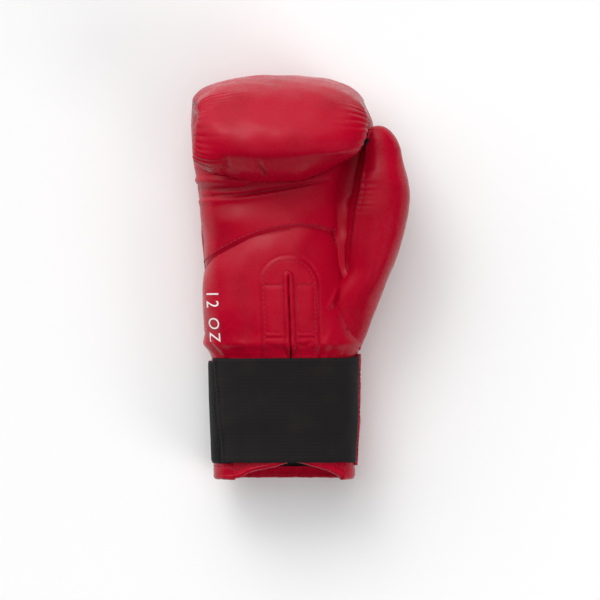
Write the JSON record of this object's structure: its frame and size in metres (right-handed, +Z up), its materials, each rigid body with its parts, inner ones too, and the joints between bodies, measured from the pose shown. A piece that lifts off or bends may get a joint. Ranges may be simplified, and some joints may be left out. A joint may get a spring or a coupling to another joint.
{
  "type": "boxing glove",
  "caption": "Padded right-hand boxing glove with a curled fist, an attached thumb, a slit palm, and a cuff closed by a wide hook-and-loop elastic strap.",
  "frame": {"origin": "bottom centre of the bounding box: middle of the glove's length and width, on the surface it lies on", "axes": "+Y from the cuff to the knuckles, +X towards the thumb side, +Z up out of the palm; the glove lies on its back"},
  "size_m": [0.1577, 0.2939, 0.1199],
  "materials": {
    "red_leather": "smooth, satin artificial leather",
    "moulded_foam": "matt foam",
    "lining_fabric": "woven satin lining",
    "black_elastic": "ribbed woven elastic",
    "loop_pile": "brushed loop pile",
    "hook_tape": "moulded hooks"
  },
  "bodies": {
    "mitt": {"back_cover": "red_leather", "palm_heel_panel": "red_leather", "palm_finger_panel": "red_leather", "knuckle_foam": "moulded_foam", "little_finger_side_foam": "moulded_foam", "thumb_side_foam": "moulded_foam", "palm_finger_foam": "moulded_foam", "palm_heel_foam_little_finger_side": "moulded_foam", "palm_heel_foam_thumb_side": "moulded_foam", "grip_bar": "moulded_foam", "hand_lining_back": "lining_fabric", "hand_lining_palm": "lining_fabric", "slit_patch": "red_leather", "slit_piping": "red_leather", "slit_tab_little_finger_side": "red_leather", "slit_tab_thumb_side": "red_leather", "slit_gusset": "lining_fabric", "cuff_cover": "red_leather", "cuff_foam_little_finger_side": "moulded_foam", "cuff_foam_back": "moulded_foam", "cuff_foam_thumb_side": "moulded_foam", "cuff_facing": "red_leather", "cuff_lining": "lining_fabric", "cuff_hem": "red_leather", "loop_panel": "loop_pile", "strap_end_binding": "red_leather", "thumb_tether": "black_elastic"},
    "little_finger_flap": {"flap_cover_little_finger_side": "red_leather", "flap_foam_little_finger_side": "moulded_foam", "flap_lining_little_finger_side": "lining_fabric", "flap_hem_little_finger_side": "red_leather"},
    "thumb_flap": {"flap_cover_thumb_side": "red_leather", "flap_foam_thumb_side": "moulded_foam", "flap_lining_thumb_side": "lining_fabric", "flap_hem_thumb_side": "red_leather"},
    "strap": {"strap_band": "black_elastic"},
    "strap_tab": {"strap_tab": "black_elastic", "hook_patch": "hook_tape"},
    "finger_roll": {"roll_cover": "red_leather", "roll_foam": "moulded_foam", "finger_pocket_lining": "lining_fabric", "roll_underside": "red_leather"},
    "thumb": {"thumb_outer_cover": "red_leather", "thumb_inner_panel": "red_leather", "thumb_foam": "moulded_foam", "thumb_lining": "lining_fabric"}
  },
  "joints": [
    {"name": "strap_open", "type": "hinge", "parent": "mitt", "child": "strap", "pos_m": [0.0446, -0.09645, 0.047], "axis": [0, 1, 0], "range_deg": [0, 165]},
    {"name": "strap_tip_peel", "type": "hinge", "parent": "strap", "child": "strap_tab", "pos_m": [-0.0416, -0.09645, 0.0722], "axis": [0, 1, 0], "range_deg": [0, 60]},
    {"name": "little_finger_flap_open", "type": "hinge", "parent": "mitt", "child": "little_finger_flap", "pos_m": [-0.0499, -0.09995, 0.0648], "axis": [0, -1, 0], "range_deg": [0, 25]},
    {"name": "thumb_flap_open", "type": "hinge", "parent": "mitt", "child": "thumb_flap", "pos_m": [0.0344, -0.09995, 0.0602], "axis": [0, 1, 0], "range_deg": [0, 25]},
    {"name": "thumb_flex", "type": "hinge", "parent": "mitt", "child": "thumb", "pos_m": [0.05, -0.0465, 0.048], "axis": [0, 0, -1], "range_deg": [0, 6], "stiffness_Nm_per_rad": 0.5},
    {"name": "finger_roll_flex", "type": "hinge", "parent": "mitt", "child": "finger_roll", "pos_m": [-0.0105, 0.14346, 0.06994], "axis": [-1, 0, 0], "range_deg": [0, 18], "stiffness_Nm_per_rad": 2}
  ],
  "couplings": [
    {"joint": "little_finger_flap_open", "follows": "strap_open", "ratio": 0.15},
    {"joint": "thumb_flap_open", "follows": "strap_open", "ratio": 0.15}
  ]
}
